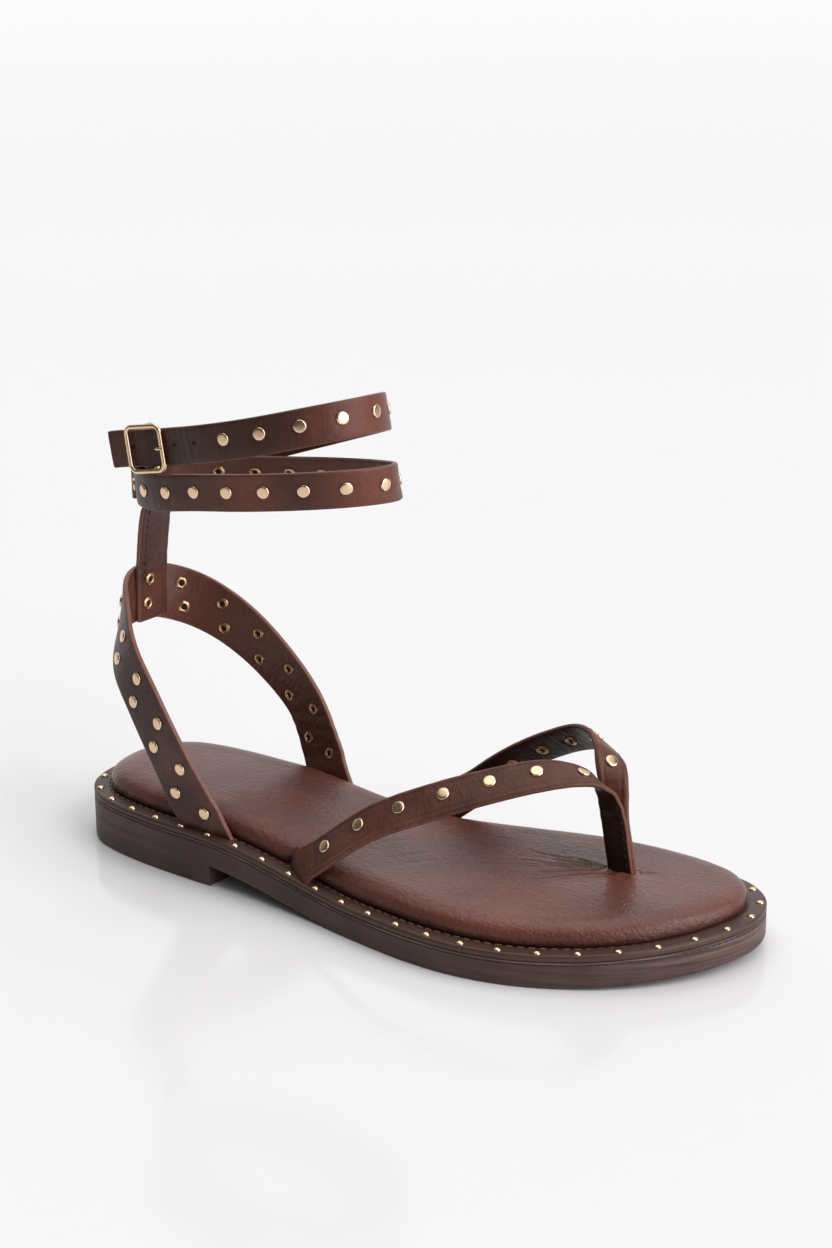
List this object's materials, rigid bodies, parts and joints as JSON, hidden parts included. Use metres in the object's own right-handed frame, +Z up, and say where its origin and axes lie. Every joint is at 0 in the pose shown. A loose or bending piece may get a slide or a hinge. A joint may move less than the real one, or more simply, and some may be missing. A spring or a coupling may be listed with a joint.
{
  "type": "strappy thong sandal",
  "caption": "Flat leather thong sandal with a riveted heel strap, a double ankle strap with a small buckle and a studded welt.",
  "frame": {"origin": "on the floor, under the middle of the sandal's box", "axes": "+X to the toe, +Y to the inner side of the foot, +Z up"},
  "size_m": [0.258, 0.102, 0.1693],
  "materials": {
    "rubber": "satin",
    "welt_leather": "satin",
    "footbed_leather": "soft sheen",
    "strap_leather": "soft sheen",
    "gold_metal": "polished"
  },
  "bodies": {
    "root": {"outsole": "rubber", "welt": "welt_leather", "insole": "footbed_leather", "thong_straps": "strap_leather", "heel_strap": "strap_leather", "ankle_strap": "strap_leather", "buckle_frame": "gold_metal", "buckle_prong": "gold_metal", "thong_stud_outer_1": "gold_metal", "thong_stud_outer_2": "gold_metal", "thong_stud_outer_3": "gold_metal", "thong_stud_outer_4": "gold_metal", "thong_stud_outer_5": "gold_metal", "thong_stud_outer_6": "gold_metal", "thong_stud_outer_7": "gold_metal", "thong_stud_inner_1": "gold_metal", "thong_stud_inner_2": "gold_metal", "thong_stud_inner_3": "gold_metal", "thong_stud_inner_4": "gold_metal", "thong_stud_inner_5": "gold_metal", "thong_stud_inner_6": "gold_metal", "thong_stud_inner_7": "gold_metal", "heel_stud_upper_1": "gold_metal", "heel_stud_upper_2": "gold_metal", "heel_stud_upper_3": "gold_metal", "heel_stud_upper_4": "gold_metal", "heel_stud_upper_5": "gold_metal", "heel_stud_upper_6": "gold_metal", "heel_stud_upper_7": "gold_metal", "heel_stud_upper_8": "gold_metal", "heel_stud_upper_9": "gold_metal", "heel_stud_upper_10": "gold_metal", "heel_stud_upper_11": "gold_metal", "heel_stud_upper_12": "gold_metal", "heel_stud_upper_13": "gold_metal", "heel_stud_lower_1": "gold_metal", "heel_stud_lower_2": "gold_metal", "heel_stud_lower_3": "gold_metal", "heel_stud_lower_4": "gold_metal", "heel_stud_lower_5": "gold_metal", "heel_stud_lower_6": "gold_metal", "heel_stud_lower_7": "gold_metal", "heel_stud_lower_8": "gold_metal", "heel_stud_lower_9": "gold_metal", "heel_stud_lower_10": "gold_metal", "heel_stud_lower_11": "gold_metal"}
  },
  "joints": []
}
